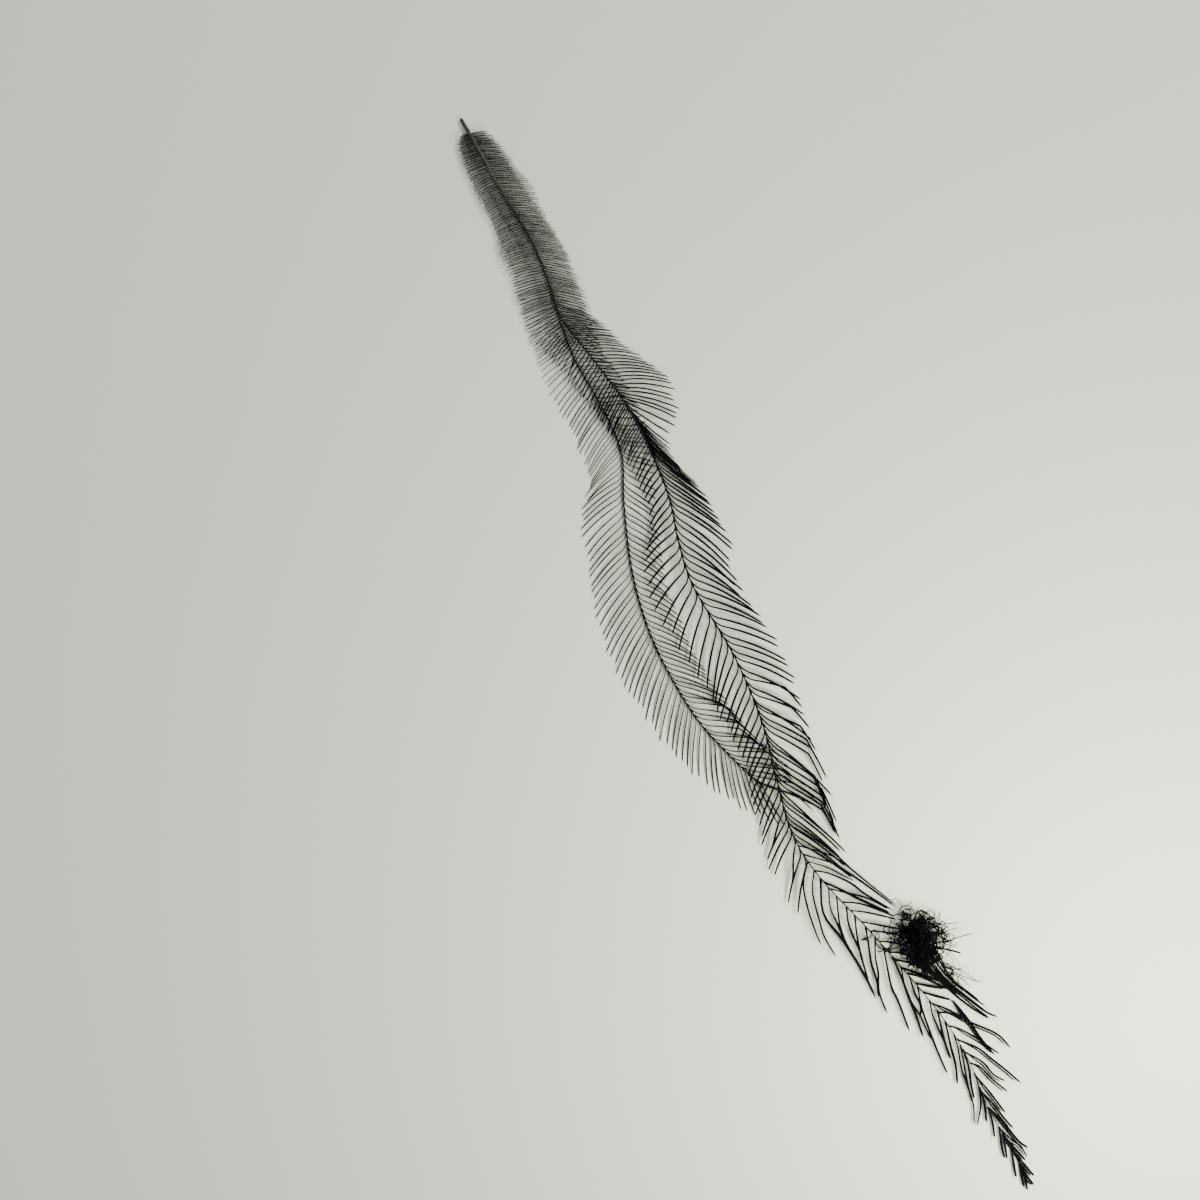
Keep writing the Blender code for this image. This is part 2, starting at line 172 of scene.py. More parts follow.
DRAWN_LEFT = [
    (1.0, 0.9, (202.9, -12.1), (207.5, -15.1), (213.2, -16.9), (219.0, -17.9), (223.3, -18.3)),
    (1.0, 0.9, (205.6, -11.4), (210.2, -14.0), (218.2, -16.0), (221.5, -16.6), (227.7, -16.4)),
    (1.5, 0.7, (208.1, -10.7), (216.2, -14.1), (224.6, -12.9), (234.8, -12.3), (241.5, -12.6)),
    (1.0, 0.8, (211.1, -10.2), (215.6, -11.9), (219.6, -12.2), (222.9, -12.5), (230.0, -12.5)),
    (1.1, 0.8, (213.9, -9.4), (218.0, -10.9), (221.6, -12.1), (226.7, -12.7), (230.7, -12.3)),
    (1.2, 0.8, (217.3, -8.7), (221.0, -9.7), (224.1, -10.2), (228.7, -10.5), (231.5, -11.0)),
    (1.2, 0.8, (220.2, -7.7), (224.3, -9.1), (228.7, -10.5), (232.2, -11.3), (236.8, -12.2)),
    (1.2, 0.8, (224.0, -6.9), (228.6, -8.0), (232.9, -9.5), (237.0, -10.2), (241.4, -11.9)),
    (1.1, 0.8, (227.5, -6.0), (231.7, -7.8), (235.6, -9.0), (240.1, -11.1), (246.1, -11.9)),
    (1.2, 0.8, (230.5, -4.9), (237.0, -6.9), (240.7, -7.9), (244.2, -8.0), (252.7, -9.1)),
    (1.4, 0.8, (233.8, -4.2), (238.5, -4.4), (244.6, -5.2), (249.7, -5.8), (255.6, -6.8)),
    (0.9, 0.8, (236.9, -3.3), (242.6, -5.0), (246.3, -5.2), (250.3, -4.9), (257.0, -5.3)),
    (1.1, 0.8, (240.1, -2.8), (244.0, -3.4), (247.0, -3.5), (248.7, -3.9), (250.4, -5.0)),
    (1.1, 0.8, (243.2, -2.0), (247.9, -3.5), (251.7, -4.2), (259.3, -5.2), (266.6, -5.8)),
    (1.0, 0.8, (247.8, -1.4), (251.3, -2.1), (256.0, -2.5), (259.2, -2.7), (262.9, -3.4)),
    (1.2, 0.8, (250.9, -0.7), (254.9, -1.6), (259.2, -2.7), (263.4, -3.3)),
    (1.2, 0.8, (254.2, -0.1), (260.0, -1.7), (265.3, -3.0), (269.8, -4.9)),
    (0.9, 0.7, (258.1, 0.3), (261.8, -0.5), (266.2, -2.0), (270.5, -2.7), (276.0, -3.7), (280.5, -6.0)),
    (0.9, 0.7, (261.2, 0.4), (265.2, -0.8), (270.6, -2.5), (275.4, -3.7)),
    (1.2, 0.7, (262.5, 0.8), (267.1, -0.3), (271.2, -1.8), (275.0, -2.9)),
    (0.9, 0.7, (269.0, 0.2), (273.2, -0.6), (277.0, -2.2), (281.1, -5.4)),
    (1.2, 0.7, (272.9, -0.1), (276.6, -1.0), (281.4, -2.9)),
    (1.1, 0.7, (278.2, -0.5), (281.8, -1.5), (285.7, -2.9)),
    (1.1, 0.7, (283.9, -1.1), (288.5, -2.4), (291.4, -3.1)),
    (1.1, 0.7, (285.9, -1.1), (289.6, -1.9), (291.8, -2.7)),
    (1.2, 0.7, (290.2, -0.8), (293.7, -1.8), (297.0, -2.9)),
    (1.1, 0.7, (294.2, -0.9), (297.9, -1.7), (300.0, -2.3)),
    (1.1, 0.7, (296.7, -0.8), (299.2, -1.3), (301.1, -1.9)),
]

# Spacing of the barb roots along each side
NEAR_PITCHES = [
    (3.7, 0.5), (12.0, 0.6), (60.0, 0.7), (63.0, 1.0), (72.0, 1.1), (78.0, 0.8), (82.0, 0.7), (86.0, 0.85),
    (94.0, 1.1), (97.0, 1.75), (108.0, 1.85), (118.0, 2.15), (132.0, 2.75),
]
MAIN_PITCHES = {
    1: NEAR_PITCHES + [(150.0, 2.6), (160.0, 1.7), (180.0, 1.6), (190.0, 2.1), (202.0, 2.2)],
    -1: NEAR_PITCHES + [(152.0, 2.6), (168.0, 2.35), (202.0, 2.4)],
}
AFTER_PITCHES = [
    (3.7, 0.5), (12.0, 0.68), (60.0, 0.72), (63.0, 1.05), (90.0, 1.2), (104.0, 1.6), (182.0, 1.8),
]

# How a barb bends: X, share of its angle at the root, in the middle and at the tip, place of the middle
RIGHT_BOW = [
    (5.0, 0.7, 1.06, 0.97, 0.2), (58.0, 0.65, 1.1, 0.92, 0.2), (64.0, 0.7, 1.25, 0.75, 0.2),
    (79.0, 0.6, 1.2, 0.8, 0.22), (82.0, 0.15, 0.8, 1.35, 0.4), (91.0, 0.2, 1.0, 1.1, 0.3),
    (108.0, 0.15, 1.25, 0.85, 0.2), (156.0, 0.15, 1.25, 0.8, 0.2), (200.0, 0.15, 1.2, 0.85, 0.2),
]
LEFT_BOW = [
    (5.0, 0.8, 1.04, 0.98, 0.2), (60.0, 0.7, 1.1, 0.95, 0.2), (104.0, 0.3, 1.2, 0.85, 0.2),
    (156.0, 0.1, 1.2, 0.9, 0.22), (220.0, 0.1, 1.15, 0.95, 0.22),
]
# Radius of a barb near its root and in its outer half, by X
BARB_RADII = [
    (5.0, 0.12, 0.1), (12.0, 0.11, 0.09), (22.0, 0.1, 0.08), (35.0, 0.09, 0.07), (48.0, 0.11, 0.1),
    (60.0, 0.13, 0.13), (70.0, 0.15, 0.18), (80.0, 0.16, 0.22), (83.0, 0.13, 0.15), (93.0, 0.13, 0.17),
    (98.0, 0.16, 0.27), (150.0, 0.18, 0.27), (200.0, 0.17, 0.26), (220.0, 0.18, 0.26), (250.0, 0.21, 0.29),
    (300.0, 0.2, 0.29),
]
# Thickness of the after barbs against the main ones
AFTER_SHARE = 0.63
# How far a barb's heading strays in radians, by X, and how many degrees of its angle go with each radian
SWAY = [(50.0, 0.012), (64.0, 0.03), (120.0, 0.03), (200.0, 0.045)]
ANGLE_STRAY = 35
# Angle of the line from a barb's root to its tip, against the angle in its table
CHORD_SHARE = 0.95
# Spread of the spacing and of the length, as shares, and how far the middle of a barb may rise
PITCH_SPREAD = 0.16
LENGTH_SPREAD = 0.06
BARB_RISE = 0.5
# A barb is this high against its width
BARB_FLATNESS = 0.8

# Sharp bends: side, first X, last X, share of the barbs, place along the barb, degrees towards the tip
KINKS = [(1, 150.0, 182.0, 0.9, 0.64, 25.0)]
KINK_PLACE_SPREAD = 0.04
KINK_TURN_SPREAD = 0.15
# Barbs stuck to the next one towards the tip: side, first X, last X, share of the barbs
STUCK = [(1, 60.0, 78.0, 0.05), (1, 150.0, 197.0, 0.05), (-1, 60.0, 202.0, 0.05)]
STUCK_RISE = 0.15

# From this X on a thinner barb lies beside each drawn one on the right
PAIRED_FROM = 248.0
PAIR_GAP = 0.6
PAIR_SHARE = 0.7

# Barbules by the X of their barb's root: first X, last X; spacing on the right and left, length and radius
# against the usual; share of the barb that bears them; least and greatest angle to it in degrees
DOWN_ZONES = [
    (0.0, 38.0, (1.05, 0.95), 1.0, 1.0, 0.97, (32, 58)),
    (38.0, 106.0, (1.6, 1.6), 1.1, 1.0, 0.9, (32, 58)),
    (106.0, 245.0, (1.5, 1.5), 1.3, 1.3, 0.75, (32, 58)),
    (245.0, 302.0, (1.3, 1.3), 1.0, 1.2, 0.95, (8, 24)),
]

# First barbule's distance from the shaft, and the spread of length and of rise as shares of the length
DOWN_START = 0.3
DOWN_LENGTHS = (0.7, 1.15)
DOWN_RISES = (-0.12, 0.16)

# The knot, zone by zone: centre, radii, curls, their shortest and longest loop radius
KNOT_ZONES = [
    ((230.6, 4.6, 2.5), (3.6, 3.5, 2.4), 120, 0.8, 1.7),
    ((235.2, 3.2, 2.5), (3.5, 3.6, 2.4), 120, 0.8, 1.7),
    ((234.4, 8.0, 2.2), (3.0, 2.6, 1.9), 26, 0.8, 1.7),
    ((226.6, 4.4, 2.0), (2.2, 2.2, 1.6), 9, 0.8, 1.5),
    ((229.8, 0.2, 1.8), (3.0, 2.4, 1.3), 22, 0.8, 2.0),
    ((239.6, 2.4, 1.4), (2.6, 1.9, 1.0), 16, 0.9, 2.0),
    ((244.4, 6.2, 1.4), (2.6, 1.8, 0.9), 6, 0.8, 1.6),
    ((230.4, -6.0, 1.0), (3.2, 1.8, 0.8), 5, 0.9, 1.8),
]
# Strands that stand out of the knot: radius, stations
KNOT_STRANDS = [
    (0.12, (240.7, 5.9, 1.6), (243.6, 7.1, 1.5), (246.7, 9.3, 1.4), (248.8, 11.2, 1.3), (249.9, 12.8, 1.2)),
    (0.09, (242.7, 5.4, 1.5), (245.2, 7.6, 1.3), (247.9, 8.9, 1.2), (250.0, 9.4, 1.0)),
    (0.09, (243.1, 4.6, 1.3), (245.5, 6.6, 1.2), (247.7, 7.6, 1.1), (250.4, 8.1, 1.0)),
    (0.09, (244.1, 5.5, 1.3), (246.3, 6.5, 1.1), (248.8, 7.1, 1.0), (250.7, 7.1, 0.8)),
    (0.09, (241.7, 5.6, 1.6), (243.6, 7.6, 1.5), (244.4, 9.7, 1.5), (244.8, 11.4, 1.4)),
    (0.09, (240.1, 5.7, 1.6), (242.1, 7.4, 1.5), (244.1, 8.5, 1.4), (245.9, 10.0, 1.4),
     (248.1, 11.0, 1.3), (249.8, 12.0, 1.2)),
    (0.08, (244.3, 4.8, 1.3), (246.1, 5.7, 1.1), (248.8, 6.5, 0.9)),
    (0.08, (241.4, 5.5, 1.5), (243.5, 6.3, 1.4), (245.7, 7.9, 1.2), (248.5, 9.7, 1.1)),
    (0.3, (236.0, 5.7, 2.6), (237.5, 7.6, 2.7), (239.1, 9.5, 2.7), (240.8, 11.3, 2.8)),
    (0.15, (235.3, 6.6, 2.6), (236.5, 9.8, 2.7), (237.0, 12.8, 2.7), (237.8, 16.3, 2.8)),
    (0.14, (231.3, 7.7, 2.8), (232.2, 10.5, 2.7), (233.0, 12.2, 2.5), (233.8, 14.3, 2.4)),
    (0.12, (233.6, 7.0, 2.6), (234.1, 9.4, 2.4), (234.4, 11.5, 2.2), (235.0, 13.6, 2.0)),
    (0.09, (235.0, 7.6, 2.4), (237.4, 9.3, 2.2), (238.6, 10.6, 2.0), (238.1, 12.2, 1.8)),
    (0.09, (236.0, 6.8, 2.2), (236.5, 8.7, 2.0), (237.6, 10.3, 1.8), (239.4, 11.0, 1.6)),
    (0.09, (237.5, 7.1, 2.0), (239.2, 8.1, 1.8), (241.1, 8.7, 1.6), (243.1, 8.2, 1.4)),
    (0.09, (238.2, 8.9, 2.0), (240.1, 9.3, 1.7), (242.3, 9.7, 1.5), (244.2, 9.8, 1.2)),
    (0.09, (238.3, 6.4, 2.0), (240.2, 7.0, 1.9), (239.4, 8.5, 1.9), (238.5, 10.4, 1.8)),
    (0.12, (230.2, 7.7, 3.0), (231.3, 9.3, 2.9), (232.8, 10.1, 2.7), (234.0, 9.2, 2.5), (234.0, 7.6, 2.4)),
    (0.09, (232.6, 8.1, 2.4), (233.3, 9.9, 2.2), (235.0, 11.1, 2.0), (236.6, 11.4, 1.8),
     (237.9, 10.4, 1.6)),
    (0.22, (228.0, 4.7, 3.4), (226.9, 5.7, 3.8), (225.9, 6.9, 4.2)),
    (0.11, (225.5, 2.0, 2.2), (224.1, 3.0, 2.2), (223.8, 4.5, 2.3), (225.1, 5.5, 2.4), (226.8, 6.0, 2.4)),
    (0.09, (226.4, 2.6, 2.2), (224.6, 3.0, 2.2), (223.8, 4.3, 2.2), (224.4, 5.6, 2.3),
     (226.0, 6.1, 2.3), (226.9, 7.3, 2.3), (227.8, 8.4, 2.4), (228.6, 8.3, 2.4), (228.9, 7.3, 2.4)),
    (0.09, (227.3, 3.8, 2.4), (225.4, 3.9, 2.4), (224.9, 5.0, 2.4), (226.3, 5.7, 2.4), (228.0, 5.6, 2.4)),
    (0.09, (221.5, 2.2, 1.8), (221.3, 3.4, 1.9), (222.6, 3.8, 1.9), (224.2, 3.8, 2.0)),
    (0.27, (227.8, 3.2, 3.4), (228.3, 5.7, 3.3), (230.1, 7.5, 3.1), (232.2, 8.8, 3.0)),
    (0.24, (226.0, 1.4, 2.8), (227.3, 3.5, 3.0), (229.7, 5.8, 3.2)),
]
# Barbs that leave the knot side by side towards the tip, and the clump stuck beside them
KNOT_TAIL = [
    (0.24, (237.2, 4.5, 1.7), (241.4, 5.0, 1.5), (244.7, 5.7, 1.2), (248.6, 7.2, 1.0),
     (252.5, 8.9, 0.7), (255.9, 10.6, 0.5)),
    (0.28, (237.6, 3.2, 1.6), (242.4, 3.9, 1.4), (246.2, 4.9, 1.2), (250.3, 6.8, 1.1),
     (254.7, 8.8, 0.9), (257.6, 10.3, 0.7), (259.8, 12.1, 0.5)),
    (0.22, (237.4, 3.8, 1.9), (242.4, 4.4, 1.7), (246.2, 5.4, 1.5), (250.2, 7.1, 1.3),
     (254.1, 8.8, 1.1), (257.3, 10.2, 0.9), (259.4, 11.8, 0.7)),
    (0.28, (237.4, 1.6, 1.4), (242.4, 2.8, 1.2), (246.6, 4.1, 1.0), (251.1, 5.8, 0.9),
     (255.2, 7.7, 0.7), (259.2, 10.0, 0.5)),
    (0.22, (237.2, 2.3, 1.7), (242.4, 3.3, 1.5), (246.7, 4.6, 1.3), (250.9, 6.5, 1.1),
     (255.2, 8.3, 0.9), (258.7, 10.0, 0.7)),
    (0.24, (236.4, 1.4, 1.4), (241.5, 2.7, 1.2), (245.8, 4.0, 1.1), (249.9, 5.6, 0.9)),
    (0.24, (236.6, 5.4, 1.7), (241.0, 5.8, 1.5), (244.4, 6.1, 1.3), (248.0, 7.2, 1.1),
     (251.0, 8.6, 0.9), (253.8, 9.8, 0.7)),
    (0.24, (236.0, 0.2, 1.3), (241.1, 1.9, 1.1), (245.0, 3.6, 0.9), (248.8, 5.1, 0.8)),
    (0.22, (236.5, 6.2, 1.8), (240.4, 6.3, 1.6), (243.6, 6.0, 1.3), (246.4, 6.2, 1.1), (249.4, 7.3, 0.8)),
    (0.22, (234.9, -0.9, 1.3), (239.4, 0.8, 1.2), (242.9, 2.8, 1.1), (245.7, 4.3, 0.9), (248.5, 5.5, 0.8)),
]
CLUMP = [
    (0.22, (250.3, 3.8, 1.0), (253.7, 4.4, 0.9), (257.8, 5.0, 0.8), (261.9, 5.5, 0.6),
     (265.0, 6.0, 0.5), (267.7, 6.9, 0.4)),
    (0.2, (250.6, 4.1, 0.9), (253.9, 4.8, 0.8), (257.5, 5.4, 0.7), (261.0, 5.7, 0.6),
     (264.2, 6.2, 0.5), (267.1, 6.8, 0.4)),
    (0.18, (250.6, 3.9, 1.0), (253.8, 4.1, 0.9), (257.6, 4.5, 0.8), (261.7, 5.1, 0.7),
     (265.1, 5.7, 0.6), (267.1, 6.6, 0.5)),
    (0.15, (251.4, 4.3, 0.8), (255.1, 5.0, 0.7), (259.1, 5.3, 0.6), (262.7, 5.9, 0.5), (266.0, 6.3, 0.4)),
]

# Steps along a barb and a curl; sides of a barb's tube, and of a barbule's or a curl's
BARB_STEPS = 16
CURL_STEPS = 26
BARB_SIDES = 4
DOWN_SIDES = 3
# Gap between the board and a strand's underside, and the lowest that a barbule and a curl may run
BOARD_GAP = 0.03
DOWN_FLOOR = 0.04
CURL_FLOOR = 0.25
CURL_CEILING = 5.1

# X in metres where the brown of the base, partly painted light through the thin keratin, and the painted
# highlight on the shaft near the quill fade into the black dye
BARB_BROWN = (-0.15, -0.07)
DOWN_BROWN = (-0.15, -0.05)
SHAFT_PAINTED_HIGHLIGHT = (-0.135, -0.122)

# Seeds of the random draws: shapes first, then the tint of each strand
MAIN_SEED = 11
AFTER_SEED = 23
STUCK_SEED = 41
DOWN_SEED = 31
KNOT_SEED = 77
TINT_SEEDS = {"main": 5, "after": 15, "down": 51, "knot": 7}


def lay_out(points):
    """Points of the plan in metres round the middle of the footprint."""
    return (np.asarray(points, float) - np.array(PLAN_MIDDLE)) * MM


def smooth_route(stations, spacing):
    """Points about one spacing apart on a Catmull-Rom curve through the stations."""
    knots = [Vector(station) for station in stations]
    knots = [2 * knots[0] - knots[1], *knots, 2 * knots[-1] - knots[-2]]
    points = []
    for before, start, end, after in zip(knots, knots[1:], knots[2:], knots[3:]):
        count = max(1, round((end - start).length / spacing))
        for i in range(count):
            t = i / count
            linear = (end - before) * t
            square = (2 * before - 5 * start + 4 * end - after) * t ** 2
            cube = (3 * start - before - 3 * end + after) * t ** 3
            points.append(start + (linear + square + cube) / 2)
    return [*points, knots[-2]]


def at_station(route, x):
    """The route's point at this X, and its heading in the plan."""
    here = next((i for i, point in enumerate(route) if point.x > x), len(route) - 1)
    here = max(1, here)
    start, end = route[here - 1], route[here]
    share = (x - start.x) / (end.x - start.x)
    return start.lerp(end, share), math.atan2(end.y - start.y, end.x - start.x)


def read_table(rows, x):
    """The columns of a table at this X, straight between its rows."""
    first, *others = zip(*rows)
    return [float(np.interp(x, first, column)) for column in others]


def smooth_step(low, high, value):
    """0 below low, 1 above high, and smooth between."""
    share = np.clip((value - low) / (high - low), 0.0, 1.0)
    return share * share * (3 - 2 * share)


def from_hex(code):
    """Linear red, green and blue of an sRGB hex colour."""
    shares = [int(code[i:i + 2], 16) / 255 for i in (1, 3, 5)]
    return tuple(s / 12.92 if s <= 0.04045 else ((s + 0.055) / 1.055) ** 2.4 for s in shares)


class FeatherSizes(bpy.types.PropertyGroup):
    """Sizes of the strands."""

    barb_scale: bpy.props.FloatProperty(
        name="Barb thickness", description="Thickness of every barb against its table",
        default=1.0, min=0.2, max=3.0)
    down_pitch: bpy.props.FloatProperty(
        name="Barbule spacing", description="Distance between the barbules on each side of a barb",
        default=0.00024, min=0.0001, unit="LENGTH", precision=5)
    down_length: bpy.props.FloatProperty(
        name="Barbule length", description="Length of the barbules in the down at the base",
        default=0.0012, min=0.0002, unit="LENGTH", precision=5)
    down_radius: bpy.props.FloatProperty(
        name="Barbule radius", description="Radius of a barbule at its root",
        default=0.00002, min=0.000004, unit="LENGTH", precision=6)
    curl_radius: bpy.props.FloatProperty(
        name="Curl radius", description="Radius of the matted strands of the knot",
        default=0.00013, min=0.00001, unit="LENGTH", precision=6)
    curl_share: bpy.props.FloatProperty(
        name="Curls", description="Strands wound into the knot, against its table",
        default=1.0, min=0.1, max=3.0)


class FeatherColours(bpy.types.PropertyGroup):
    """Colours of the feather and of what it lies on."""

    dye: bpy.props.FloatVectorProperty(
        name="Dye", description="Barbs where the black dye is full", subtype="COLOR", size=3,
        default=from_hex("#050608"), min=0.0, max=1.0)
    # Brown at the base: partly where the dye took less, partly painted light shining through the thin keratin
    thin_dye_and_painted_translucence: bpy.props.FloatVectorProperty(
        name="Thin dye", description="Down at the base, where brown shows through the dye",
        subtype="COLOR", size=3, default=from_hex("#2b241e"), min=0.0, max=1.0)
    horn: bpy.props.FloatVectorProperty(
        name="Horn", description="Quill", subtype="COLOR", size=3,
        default=from_hex("#26231c"), min=0.0, max=1.0)
    # Grey of the shaft near the quill: a painted highlight, the gloss along the shaft's top laid into its
    # colour
    shaft: bpy.props.FloatVectorProperty(
        name="Shaft", description="Top of the shaft near the quill", subtype="COLOR", size=3,
        default=from_hex("#5c5a54"), min=0.0, max=1.0)
    laminate: bpy.props.FloatVectorProperty(
        name="Laminate", description="Board under the feather", subtype="COLOR", size=3,
        default=from_hex("#dcdcd2"), min=0.0, max=1.0)


def barb_line(route, table, bow, side, x, rng):
    """Centre line of the barb rooted at this X: along the shaft first, then out, then on to its tip."""
    root, heading = at_station(route, x)
    length, angle, rest = read_table(table, x)
    start, middle, end, opened = read_table(bow, x)
    sway = read_table(SWAY, x)[0]
    length *= 1 + LENGTH_SPREAD * rng.uniform(-1, 1)
    angle = math.radians(angle + ANGLE_STRAY * sway * rng.uniform(-1, 1))
    tip_angle = heading + side * angle * CHORD_SHARE
    middles = (np.arange(BARB_STEPS) + 0.5) / BARB_STEPS
    turned = angle * np.interp(middles, (0, opened, 0.6, 1), (start, middle, (middle + end) / 2, end))
    for kink_side, first, last, share, place, degrees in KINKS:
        if side == kink_side and first <= x <= last and rng.random() < share:
            place += KINK_PLACE_SPREAD * rng.uniform(-1, 1)
            turned -= math.radians(degrees) * (1 + KINK_TURN_SPREAD * rng.uniform(-1, 1)) * (middles > place)
    turned += [sway * noise.noise((x * 0.09, t * 1.4, side * 5.0)) for t in middles]
    steps = np.column_stack((np.cos(heading + side * turned), np.sin(heading + side * turned)))
    path = np.vstack(((0.0, 0.0), np.cumsum(steps, axis=0)))
    chord = math.atan2(path[-1, 1], path[-1, 0])
    cosine, sine = math.cos(tip_angle - chord), math.sin(tip_angle - chord)
    path = path @ np.array(((cosine, sine), (-sine, cosine))) * length / np.linalg.norm(path[-1])
    shares = np.linspace(0, 1, BARB_STEPS + 1)
    lift = BARB_RISE * rng.random() * np.sin(math.pi * shares)
    heights = root.z + (rest - root.z) * smooth_step(0.1, 1.0, shares) + lift
    heights[0] = root.z
    return np.column_stack((path + (root.x, root.y), heights))


def stick_together(lines, roots, side):
    """Lays the outer half of some barbs on the next barb towards the tip."""
    rng = random.Random(STUCK_SEED + side)
    shares = np.linspace(0, 1, BARB_STEPS + 1)
    for i in range(len(lines) - 2, -1, -1):
        chance = sum(share for stuck_side, first, last, share in STUCK
                     if stuck_side == side and first <= roots[i] < last)
        draw, reach = rng.random(), rng.uniform(0.75, 1.0)
        if draw >= chance:
            continue
        line, other = lines[i], lines[i + 1]
        length = np.linalg.norm(other[-1] - other[0])
        behind = np.dot(other[0] - line[0], other[-1] - other[0]) / length ** 2
        places = np.clip(shares - behind, 0.0, 1.0)
        target = np.column_stack([np.interp(places, shares, other[:, k]) for k in range(3)])
        target[:, 2] += STUCK_RISE
        weight = (smooth_step(0.1, reach, shares) * (shares > behind))[:, None]
        lines[i] = line * (1 - weight) + target * weight
    return lines


def even_points(points, count):
    """This many points spaced evenly along a line."""
    points = np.array(points)
    lengths = np.concatenate(((0.0,), np.cumsum(np.linalg.norm(np.diff(points, axis=0), axis=1))))
    spots = np.linspace(0, lengths[-1], count)
    return np.column_stack([np.interp(spots, lengths, points[:, k]) for k in range(3)])


def strand_taper():
    """Share of a strand's radius at each of its steps."""
    return np.interp(np.linspace(0, 1, CURL_STEPS), (0, 0.1, 0.85, 1), (0.5, 1.0, 0.95, 0.7))


def drawn_barb(route, rest, stations):
    """Centre line of a barb that its stations draw, from the shaft down to the height of its tip."""
    root, _ = at_station(route, stations[0][0])
    reach = np.linspace(0, 1, len(stations))
    heights = root.z + (rest - root.z) * smooth_step(0.1, 1.0, reach)
    stations = [(root.x, root.y), *stations[1:]]
    return even_points(smooth_route([(*place, height) for place, height in zip(stations, heights)], 0.5),
                       BARB_STEPS + 1)


def lie_beside(line, side):
    """A shorter copy of a barb that leaves it near the root and lies on its side towards the tip."""
    shares = np.linspace(0, 1, len(line))
    along = np.gradient(line[:, :2], axis=0)
    aside = side * np.column_stack((along[:, 1], -along[:, 0])) / np.linalg.norm(along, axis=1)[:, None]
    beside = line.copy()
    beside[:, :2] += aside * PAIR_GAP * smooth_step(0.0, 0.35, shares)[:, None]
    return np.column_stack([np.interp(shares * 0.92, shares, beside[:, k]) for k in range(3)])


def drawn_strands(rows):
    """Strands that follow their stations, thinner at both ends."""
    lines = np.array([even_points(smooth_route(stations, 0.4), CURL_STEPS) for _, *stations in rows])
    radii = np.array([row[0] for row in rows])[:, None] * strand_taper()
    lines[:, :, 2] = np.maximum(lines[:, :, 2], radii + BOARD_GAP)
    return lines, radii


def grow_barbs(route, table, bow, pitches, side, end, seed):
    """X of the roots, and centre lines, of the barbs that the tables give before this end."""
    rng = random.Random(seed + side)
    x = FIRST_BARB
    roots, lines = [], []
    while x < end:
        roots.append(x)
        lines.append(barb_line(route, table, bow, side, x, rng))
        x += read_table(pitches, x)[0] * (1 + PITCH_SPREAD * rng.uniform(-1, 1))
    return roots, lines


def thicken(lines, roots, weights):
    """Centre lines of barbs kept clear of the board, and their radii; a weight is a share of the usual."""
    shares = np.linspace(0, 1, BARB_STEPS + 1)
    radii = []
    for root, weight in zip(roots, weights):
        inner, outer = (weight * radius for radius in read_table(BARB_RADII, root))
        radii.append(np.interp(shares, (0, 0.1, 0.5, 0.95, 1), (inner * 1.3, inner, outer, outer * 0.8, 0.0)))
    lines, radii = np.array(lines), np.array(radii)
    lines[:, :, 2] = np.maximum(lines[:, :, 2], radii + BOARD_GAP)
    return lines, radii


def main_barbs(side):
    """Barbs of one side of the main shaft: those of the tables, then those drawn singly."""
    route = smooth_route(MAIN_ROUTE, SHAFT_SPACING)
    right = side > 0
    table, bow, drawn = (MAIN_RIGHT, RIGHT_BOW, DRAWN_RIGHT) if right else (MAIN_LEFT, LEFT_BOW, DRAWN_LEFT)
    roots, lines = grow_barbs(route, table, bow, MAIN_PITCHES[side], side, LAST_GROWN[side], MAIN_SEED)
    lines = stick_together(lines, roots, side)
    weights = [1.0] * len(lines)
    for weight, rest, *stations in drawn:
        root = stations[0][0]
        roots.append(root)
        lines.append(drawn_barb(route, rest, stations))
        weights.append(weight)
        if right and root > PAIRED_FROM:
            roots.append(root)
            lines.append(lie_beside(lines[-1], side))
            weights.append(weight * PAIR_SHARE)
    return thicken(lines, roots, weights)


def after_barbs(side):
    """Barbs of one side of the after shaft."""
    route = smooth_route(AFTER_ROUTE, SHAFT_SPACING)
    table, bow = (AFTER_RIGHT, RIGHT_BOW) if side > 0 else (AFTER_LEFT, LEFT_BOW)
    roots, lines = grow_barbs(route, table, bow, AFTER_PITCHES, side, route[-1].x - AFTER_BARE, AFTER_SEED)
    return thicken(lines, roots, [AFTER_SHARE] * len(lines))


def barbules_on(line, pitch, length, share, splay, rng):
    """Three-point barbules on both sides of a barb, over this share of it."""
    reach = np.concatenate(((0.0,), np.cumsum(np.linalg.norm(np.diff(line, axis=0), axis=1))))
    places = np.arange(DOWN_START, reach[-1] * share, pitch)
    strands = []
    for side in (1, -1):
        spots = places + rng.uniform(-0.3, 0.3, len(places)) * pitch
        roots = np.column_stack([np.interp(spots, reach, line[:, k]) for k in range(3)])
        ahead = np.column_stack([np.interp(spots + 0.3, reach, line[:, k]) for k in range(3)])
        heading = np.arctan2(ahead[:, 1] - roots[:, 1], ahead[:, 0] - roots[:, 0])
        turn = side * np.radians(rng.uniform(*splay, len(places)))
        sized = length * rng.uniform(*DOWN_LENGTHS, len(places)) * (1 - 0.55 * spots / reach[-1])
        rise = rng.uniform(*DOWN_RISES, len(places)) * sized
        strand = np.repeat(roots[:, None, :], 3, axis=1)
        for step, bend in ((1, 1.0), (2, 0.55)):
            strand[:, step] = strand[:, step - 1]
            strand[:, step, 0] += sized / 2 * np.cos(heading + turn * bend)
            strand[:, step, 1] += sized / 2 * np.sin(heading + turn * bend)
            strand[:, step, 2] += rise / 2
        strands.append(strand)
    return np.concatenate(strands)


